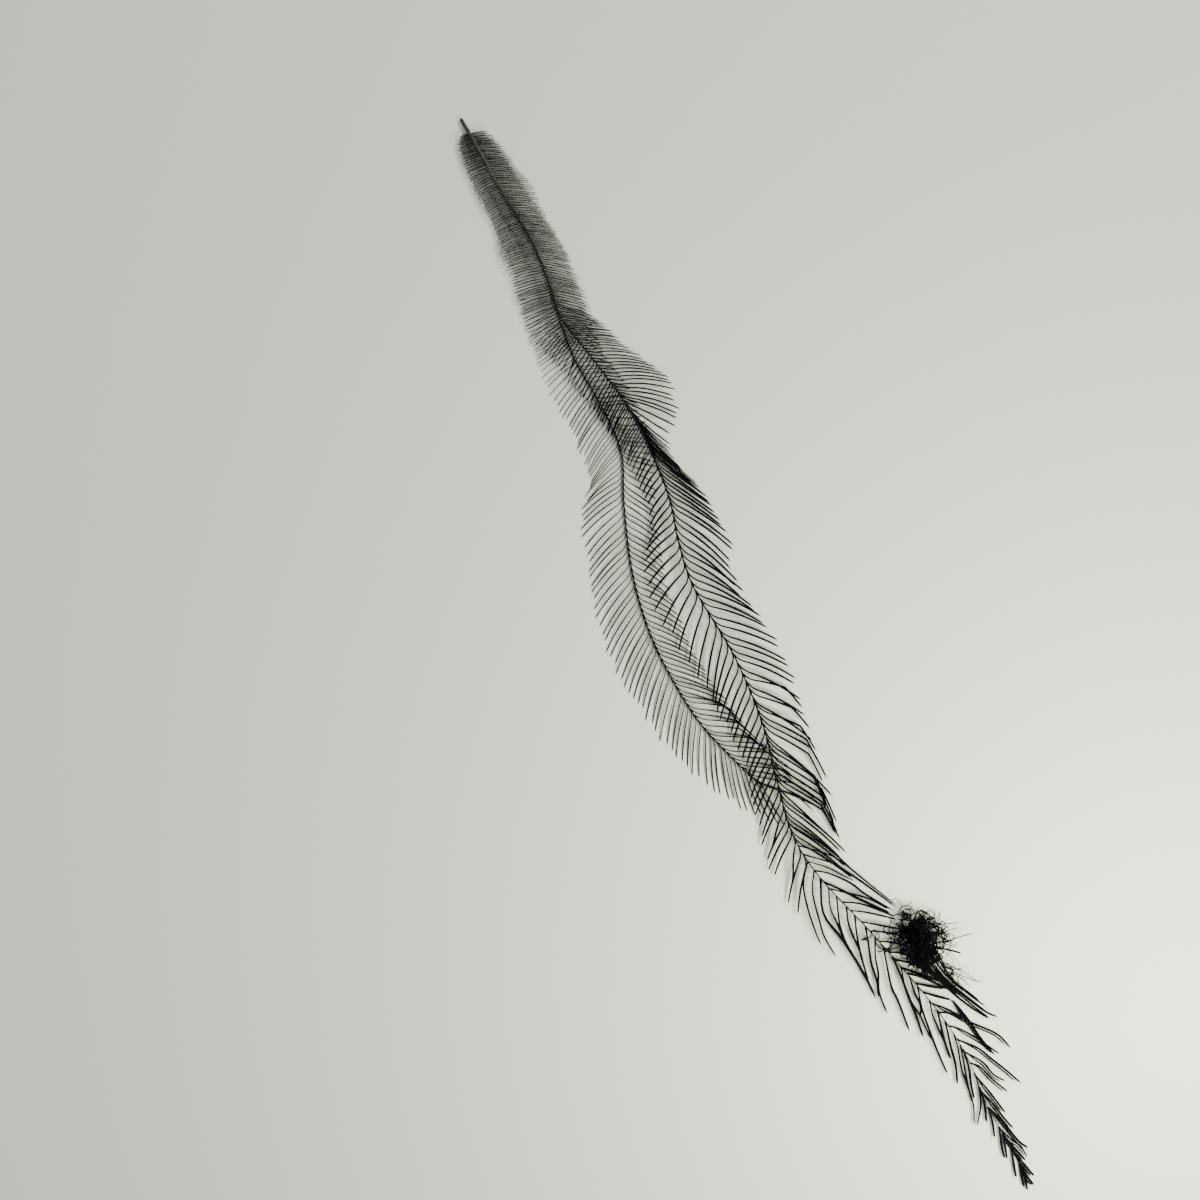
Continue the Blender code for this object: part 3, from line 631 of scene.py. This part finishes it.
def grow_down(lines, side, pitch, length, radius):
    """Barbules of all the barbs on one side of a shaft, zone by zone, and their radii."""
    strands, radii = [], []
    for number, (first, last, spacings, longer, thicker, share, splay) in enumerate(DOWN_ZONES):
        rng = np.random.default_rng(DOWN_SEED + 4 * number + side)
        spacing = spacings[0] if side > 0 else spacings[1]
        root_radius = radius * thicker
        for line in lines:
            if first <= line[0, 0] < last:
                made = barbules_on(line, pitch * spacing, length * longer, share, splay, rng)
                strands.append(made)
                radii.append(np.tile((root_radius, root_radius * 0.75, 0.0), (len(made), 1)))
    strands = np.concatenate(strands)
    strands[:, :, 2] = np.maximum(strands[:, :, 2], DOWN_FLOOR)
    return strands, np.concatenate(radii)


def curl(rng, start, heading, length, loop, centre, reach):
    """A strand that bends round and round, and is held near the ellipsoid of this centre and reach."""
    step = length / (CURL_STEPS - 1)
    direction = np.array(heading, float)
    axis = rng.normal(size=3)
    point = np.array(start, float)
    points = [point.copy()]
    for _ in range(CURL_STEPS - 1):
        axis += 0.35 * rng.normal(size=3)
        axis /= np.linalg.norm(axis)
        turn = np.cross(axis, direction)
        direction = direction + turn * step / loop
        away = (point - centre) / reach
        direction -= 0.5 * away * max(0.0, np.linalg.norm(away) - 0.85) * step / loop
        direction /= np.linalg.norm(direction)
        point = point + direction * step
        point[2] = min(max(point[2], CURL_FLOOR), CURL_CEILING)
        points.append(point.copy())
    return np.array(points)


def carry_ring(lines, radii, sides, flat):
    """Corners of a ring round every point, carried along each line without twist."""
    tangents = np.gradient(lines, axis=1)
    tangents /= np.maximum(np.linalg.norm(tangents, axis=2, keepdims=True), 1e-9)
    across = np.cross((0.0, 0.0, 1.0), tangents[:, 0])
    across += np.array((1e-6, 0.0, 0.0))
    rings = np.empty((*lines.shape[:2], sides, 3))
    turns = 2 * math.pi * np.arange(sides) / sides
    for step in range(lines.shape[1]):
        tangent = tangents[:, step]
        across = across - np.sum(across * tangent, axis=1, keepdims=True) * tangent
        across /= np.linalg.norm(across, axis=1, keepdims=True)
        over = np.cross(tangent, across) * flat
        ring = np.cos(turns)[:, None] * across[:, None, :] + np.sin(turns)[:, None] * over[:, None, :]
        rings[:, step] = lines[:, step, None, :] + ring * radii[:, step, None, None]
    return rings


def hair_piece(name, lines, radii, sides=BARB_SIDES, flat=1.0, seed=0):
    """One mesh of closed tapered strands, each a tube from a flat root to a point."""
    if len(lines) == 0:
        raise RuntimeError(f"{name} has no strands")
    lines, radii = np.asarray(lines, float), np.asarray(radii, float)
    count, steps = radii.shape
    rings = carry_ring(lines, radii, sides, flat)[:, :-1]
    points = np.concatenate((rings.reshape(count, -1, 3), lines[:, -1:, :]), axis=1)
    per_hair = (steps - 1) * sides + 1
    here = np.arange(sides)
    there = (here + 1) % sides
    starts = np.arange(steps - 2)[:, None] * sides
    quads = np.stack((starts + here, starts + there, starts + sides + there, starts + sides + here), axis=-1)
    quads = quads.reshape(-1, 4)
    last = (steps - 2) * sides
    ends = np.column_stack((last + here, last + there, np.full(sides, per_hair - 1)))
    offsets = (np.arange(count) * per_hair)[:, None, None]
    faces = (quads + offsets).reshape(-1, 4).tolist()
    faces += (ends + offsets).reshape(-1, 3).tolist()
    faces += (here[::-1] + offsets[:, 0]).tolist()
    mesh = bpy.data.meshes.new(name)
    mesh.from_pydata(lay_out(points.reshape(-1, 3)).tolist(), [], faces)
    mesh.update()
    mesh.shade_smooth()
    tint = np.random.default_rng(seed).random(count)
    layer = mesh.attributes.new("tint", "FLOAT", "POINT")
    layer.data.foreach_set("value", np.repeat(tint, per_hair).astype(np.float32))
    made = bpy.data.objects.new(name, mesh)
    bpy.context.scene.collection.objects.link(made)
    return made


def dress(piece, material, slot, *nodes):
    """Gives a finished piece its material and its body, and hides the nodes that it stands for; the slot is
    not used.
    """
    piece.data.materials.clear()
    piece.data.materials.append(material)
    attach(piece, "root")
    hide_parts(*nodes)


def add_node(tree, kind, settings=(), inputs=()):
    """A shader node with its settings, and inputs that are values or the sockets that feed them."""
    node = tree.nodes.new(kind)
    for name, value in dict(settings).items():
        setattr(node, name, value)
    for key, value in dict(inputs).items():
        if isinstance(value, bpy.types.NodeSocket):
            tree.links.new(value, node.inputs[key])
        else:
            node.inputs[key].default_value = value
    return node


def new_material(name):
    """An empty material with its output and Principled shader."""
    material = bpy.data.materials.new(name)
    material.use_nodes = True
    return material, material.node_tree, material.node_tree.nodes["Principled BSDF"]


def object_noise(tree, scale_mm, detail=3.0):
    """Noise whose lumps are this many millimetres across."""
    place = add_node(tree, "ShaderNodeTexCoord")
    return add_node(tree, "ShaderNodeTexNoise", inputs={
        "Vector": place.outputs["Object"], "Scale": 1 / (scale_mm * MM), "Detail": detail})


def fade_out(tree, reach):
    """1 before the first X of this reach in metres, 0 after the last, and straight between."""
    first, last = reach
    place = add_node(tree, "ShaderNodeTexCoord")
    parts = add_node(tree, "ShaderNodeSeparateXYZ", inputs={"Vector": place.outputs["Object"]})
    fade = add_node(tree, "ShaderNodeMapRange", inputs={
        "Value": parts.outputs["X"], "From Min": first, "From Max": last, "To Min": 1.0, "To Max": 0.0})
    return fade.outputs["Result"]


def mix_base(tree, shader, factor, first, second):
    """The base colour from two colours and the socket that mixes them."""
    colour = add_node(tree, "ShaderNodeMix", {"data_type": "RGBA"},
                      {"Factor": factor, "A": (*first, 1.0), "B": (*second, 1.0)})
    tree.links.new(colour.outputs["Result"], shader.inputs["Base Color"])


def bump(tree, shader, strength, depth_mm, height):
    """Fine relief of this depth from a texture."""
    relief = add_node(tree, "ShaderNodeBump", inputs={
        "Strength": strength, "Distance": depth_mm * MM, "Height": height.outputs["Fac"]})
    tree.links.new(relief.outputs["Normal"], shader.inputs["Normal"])


def dyed_keratin(name, colours, brown_reach):
    """Feather keratin, acid dyed: near black with a dull silk gloss, and brown at the base, partly where the
    dye took less and partly painted light shining through the thin keratin.
    """
    material, tree, shader = new_material(name)
    tint = add_node(tree, "ShaderNodeAttribute", {"attribute_name": "tint"})
    mixed = add_node(tree, "ShaderNodeMath", {"operation": "ADD"},
                     {0: tint.outputs["Fac"], 1: object_noise(tree, 6.0).outputs["Fac"]})
    # Brown at the base, partly thin dye and partly painted light through the thin keratin, mixed in by tint
    # and noise
    brown = add_node(tree, "ShaderNodeMath", {"operation": "MULTIPLY", "use_clamp": True},
                     {0: fade_out(tree, brown_reach), 1: mixed.outputs["Value"]})
    mix_base(tree, shader, brown.outputs["Value"], colours.dye, colours.thin_dye_and_painted_translucence)
    # Gloss that changes every 0.4 mm, since handling dulls a barb unevenly
    gloss = add_node(tree, "ShaderNodeMapRange", inputs={
        "Value": object_noise(tree, 0.4).outputs["Fac"], "To Min": 0.42, "To Max": 0.72})
    tree.links.new(gloss.outputs["Result"], shader.inputs["Roughness"])
    # Pressed barbules roughen the barb every 0.12 mm
    bump(tree, shader, 0.35, 0.03, object_noise(tree, 0.12))
    shader.inputs["IOR"].default_value = 1.54
    shader.inputs["Specular IOR Level"].default_value = 0.03
    return material


def shaft_keratin(colours):
    """Shaft keratin: smooth and dyed black, with a grey-brown painted highlight near the quill where the
    light glints along its top.
    """
    material, tree, shader = new_material("dyed_shaft")
    # Painted highlight near the quill, broken up by noise and fading into the dye further out
    pale = add_node(tree, "ShaderNodeMath", {"operation": "MULTIPLY", "use_clamp": True},
                    {0: fade_out(tree, SHAFT_PAINTED_HIGHLIGHT), 1: object_noise(tree, 0.5).outputs["Fac"]})
    mix_base(tree, shader, pale.outputs["Value"], colours.dye, colours.shaft)
    bump(tree, shader, 0.3, 0.02, object_noise(tree, 0.15))
    shader.inputs["Roughness"].default_value = 0.38
    shader.inputs["Specular IOR Level"].default_value = 0.12
    return material


def quill_horn(colours):
    """Horn of the quill: dense, half polished, with faint lengthwise streaks."""
    material, tree, shader = new_material("quill_horn")
    place = add_node(tree, "ShaderNodeTexCoord")
    stretch = add_node(tree, "ShaderNodeMapping", inputs={
        "Vector": place.outputs["Object"], "Scale": (200, 3000, 3000)})
    grain = add_node(tree, "ShaderNodeTexNoise", inputs={"Vector": stretch.outputs["Vector"], "Scale": 1.0})
    mix_base(tree, shader, grain.outputs["Fac"], colours.horn, colours.dye)
    bump(tree, shader, 0.3, 0.02, grain)
    shader.inputs["Roughness"].default_value = 0.34
    return material


def pressed_laminate(colours):
    """Melamine laminate pressed on a textured plate: pale, satin, with a fine orange peel."""
    material, tree, shader = new_material("pressed_laminate")
    shader.inputs["Base Color"].default_value = (*colours.laminate, 1.0)
    shader.inputs["Roughness"].default_value = 0.5
    bump(tree, shader, 0.12, 0.05, object_noise(tree, 1.1, 2.0))
    return material


def deselect_all():
    """Nothing selected, so that an operator acts on the new piece alone."""
    bpy.ops.object.select_all(action="DESELECT")


def tube(name, points, radii):
    """A tapering tube through points of the plan, closed at both ends."""
    deselect_all()
    curve = bpy.data.curves.new(name, "CURVE")
    curve.dimensions = "3D"
    curve.bevel_depth = MM
    curve.bevel_resolution = 3
    curve.use_fill_caps = True
    spline = curve.splines.new("POLY")
    spline.points.add(len(points) - 1)
    for place, point, radius in zip(spline.points, lay_out(points), radii):
        place.co = (*point, 1.0)
        place.radius = radius
    made = bpy.data.objects.new(name, curve)
    bpy.context.scene.collection.objects.link(made)
    made.select_set(True)
    bpy.context.view_layer.objects.active = made
    bpy.ops.object.convert(target="MESH")
    made = bpy.context.object
    bpy.ops.object.mode_set(mode="EDIT")
    bpy.ops.mesh.select_all(action="SELECT")
    bpy.ops.mesh.remove_doubles(threshold=0.005 * MM)
    bpy.ops.mesh.normals_make_consistent(inside=False)
    bpy.ops.object.mode_set(mode="OBJECT")
    bpy.ops.object.shade_smooth_by_angle(angle=math.radians(50))
    return made


def add_camera(scene):
    """A camera straight above that frames the board as the photograph does."""
    aside = (PHOTO_PIXELS / 2 - QUILL_END_PIXEL[0]) * PIXEL_MM
    down = (PHOTO_PIXELS / 2 - QUILL_END_PIXEL[1]) * PIXEL_MM
    cosine, sine = math.cos(PHOTO_TURN), math.sin(PHOTO_TURN)
    middle = lay_out((cosine * aside + sine * down, sine * aside - cosine * down, 0.0))
    span = PHOTO_PIXELS * PIXEL_MM * MM * FRAME_MARGIN
    bpy.ops.object.camera_add()
    camera = bpy.context.object
    camera.name = "camera"
    camera.data.lens = LENS_MM
    camera.data.sensor_width = SENSOR_MM
    camera.location = (middle[0], middle[1], span * LENS_MM / SENSOR_MM)
    camera.rotation_euler = Euler((0, 0, PHOTO_TURN))
    scene.camera = camera


def add_light(name, place, width, energy, colour):
    """A round soft light that looks at the middle of the feather."""
    bpy.ops.object.light_add(type="AREA", location=place)
    light = bpy.context.object
    light.name = name
    light.data.shape = "DISK"
    light.data.size = width
    light.data.energy = energy
    light.data.color = colour
    light.rotation_euler = (-Vector(place)).to_track_quat("-Z", "Y").to_euler()


def fill_world(scene):
    """Even light from the room."""
    scene.world = scene.world or bpy.data.worlds.new("studio")
    scene.world.use_nodes = True
    background = scene.world.node_tree.nodes["Background"]
    background.inputs["Color"].default_value = (*WORLD_COLOUR, 1.0)
    background.inputs["Strength"].default_value = WORLD_STRENGTH


class FEATHER_OT_stage(bpy.types.Operator):
    """Board, studio light and the camera above"""

    bl_idname = "feather.make_stage"
    bl_label = "Stage"

    def execute(self, context):
        deselect_all()
        bpy.ops.mesh.primitive_plane_add(size=BOARD_SIZE, location=(0, 0, 0))
        board = context.object
        board.name = "board"
        board.data.materials.append(pressed_laminate(context.scene.feather_colours))
        add_camera(context.scene)
        for light in LIGHTS:
            add_light(*light)
        fill_world(context.scene)
        return {"FINISHED"}


class FEATHER_OT_quill(bpy.types.Operator):
    """Bare horn quill"""

    bl_idname = "feather.make_quill"
    bl_label = "Quill"

    def execute(self, context):
        quill = tube("quill_tube", QUILL_STATIONS, QUILL_RADII)
        dress(quill, quill_horn(context.scene.feather_colours), "quill_horn", "quill")
        return {"FINISHED"}


class FEATHER_OT_shafts(bpy.types.Operator):
    """Main shaft and after shaft"""

    bl_idname = "feather.make_shafts"
    bl_label = "Shafts"

    def execute(self, context):
        material = shaft_keratin(context.scene.feather_colours)
        for name, stations, radii, node in (("main_shaft", MAIN_ROUTE, MAIN_RADII, "main_plume"),
                                            ("after_shaft", AFTER_ROUTE, AFTER_RADII, "after_plume")):
            route = smooth_route(stations, SHAFT_SPACING)
            shaft = tube(name, route, [read_table(radii, point.x)[0] for point in route])
            dress(shaft, material, "barbs", node)
        return {"FINISHED"}


class FEATHER_OT_barbs(bpy.types.Operator):
    """Barbs on both sides of both shafts, those that leave the knot, and a stuck clump"""

    bl_idname = "feather.make_barbs"
    bl_label = "Barbs"

    def execute(self, context):
        sizes = context.scene.feather_sizes
        material = dyed_keratin("dyed_barbs", context.scene.feather_colours, BARB_BROWN)
        for name, side in SIDES:
            for plume, grow in PLUMES:
                lines, radii = grow(side)
                piece = hair_piece(f"{plume}_barbs_{name}", lines, radii * sizes.barb_scale,
                                   BARB_SIDES, BARB_FLATNESS, TINT_SEEDS[plume] + side)
                dress(piece, material, "barbs", f"{plume}_plume")
        for name, rows in (("knot_tail", KNOT_TAIL), ("stuck_clump", CLUMP)):
            dress(hair_piece(name, *drawn_strands(rows)), material, "barbs", "main_plume")
        return {"FINISHED"}


class FEATHER_OT_down(bpy.types.Operator):
    """Barbules: dense down on the base barbs, sparse ones further out"""

    bl_idname = "feather.make_down"
    bl_label = "Down"

    def execute(self, context):
        sizes = context.scene.feather_sizes
        usual = sizes.down_pitch / MM, sizes.down_length / MM, sizes.down_radius / MM
        material = dyed_keratin("dyed_down", context.scene.feather_colours, DOWN_BROWN)
        for name, side in SIDES:
            for plume, grow in PLUMES:
                strands, radii = grow_down(grow(side)[0], side, *usual)
                piece = hair_piece(f"{plume}_down_{name}", strands, radii,
                                   sides=DOWN_SIDES, seed=TINT_SEEDS["down"] + side)
                dress(piece, material, "barbs", f"{plume}_plume")
        return {"FINISHED"}


class FEATHER_OT_knot(bpy.types.Operator):
    """Knot of matted and curled barb ends"""

    bl_idname = "feather.make_knot"
    bl_label = "Knot"

    def execute(self, context):
        sizes = context.scene.feather_sizes
        material = dyed_keratin("matted_barbs", context.scene.feather_colours, BARB_BROWN)
        rng = np.random.default_rng(KNOT_SEED)
        lines, radii = [], []
        taper = strand_taper()
        for centre, reach, curls, shortest, longest in KNOT_ZONES:
            centre, reach = np.array(centre), np.array(reach)
            for _ in range(round(curls * sizes.curl_share)):
                spot = rng.normal(size=3)
                spot *= rng.uniform(0.1, 1.0) ** 0.4 / np.linalg.norm(spot)
                loop = rng.uniform(shortest, longest)
                lines.append(curl(rng, centre + spot * reach, rng.normal(size=3), rng.uniform(4, 8) * loop,
                                  loop, centre, reach))
                radii.append(taper * rng.uniform(0.6, 1.4) * sizes.curl_radius / MM)
        standing, thick = drawn_strands(KNOT_STRANDS)
        piece = hair_piece("knot_curls", [*lines, *standing], [*radii, *thick],
                           sides=DOWN_SIDES, seed=TINT_SEEDS["knot"])
        dress(piece, material, "barbs", "main_plume")
        return {"FINISHED"}


class FEATHER_PT_sidebar(bpy.types.Panel):
    """Lists what the feather is made of"""

    bl_idname = "FEATHER_PT_sidebar"
    bl_label = "Emu feather"
    bl_space_type = "VIEW_3D"
    bl_region_type = "UI"
    bl_category = "Feather"

    def draw(self, context):
        for group in (context.scene.feather_sizes, context.scene.feather_colours):
            for name in group.__annotations__:
                self.layout.prop(group, name)
        for operator in OPERATORS:
            self.layout.operator(operator.bl_idname)


PLUMES = (("main", main_barbs), ("after", after_barbs))
OPERATORS = (FEATHER_OT_stage, FEATHER_OT_quill, FEATHER_OT_shafts, FEATHER_OT_barbs, FEATHER_OT_down,
             FEATHER_OT_knot)
CLASSES = (FeatherSizes, FeatherColours, *OPERATORS, FEATHER_PT_sidebar)


def register():
    for entry in CLASSES:
        bpy.utils.register_class(entry)
    bpy.types.Scene.feather_sizes = bpy.props.PointerProperty(type=FeatherSizes)
    bpy.types.Scene.feather_colours = bpy.props.PointerProperty(type=FeatherColours)


def unregister():
    del bpy.types.Scene.feather_colours
    del bpy.types.Scene.feather_sizes
    for entry in reversed(CLASSES):
        bpy.utils.unregister_class(entry)


def main():
    register()
    bpy.ops.feather.make_stage()
    bpy.ops.feather.make_quill()
    bpy.ops.feather.make_shafts()
    bpy.ops.feather.make_barbs()
    bpy.ops.feather.make_down()
    bpy.ops.feather.make_knot()


if __name__ == "__main__":
    main()
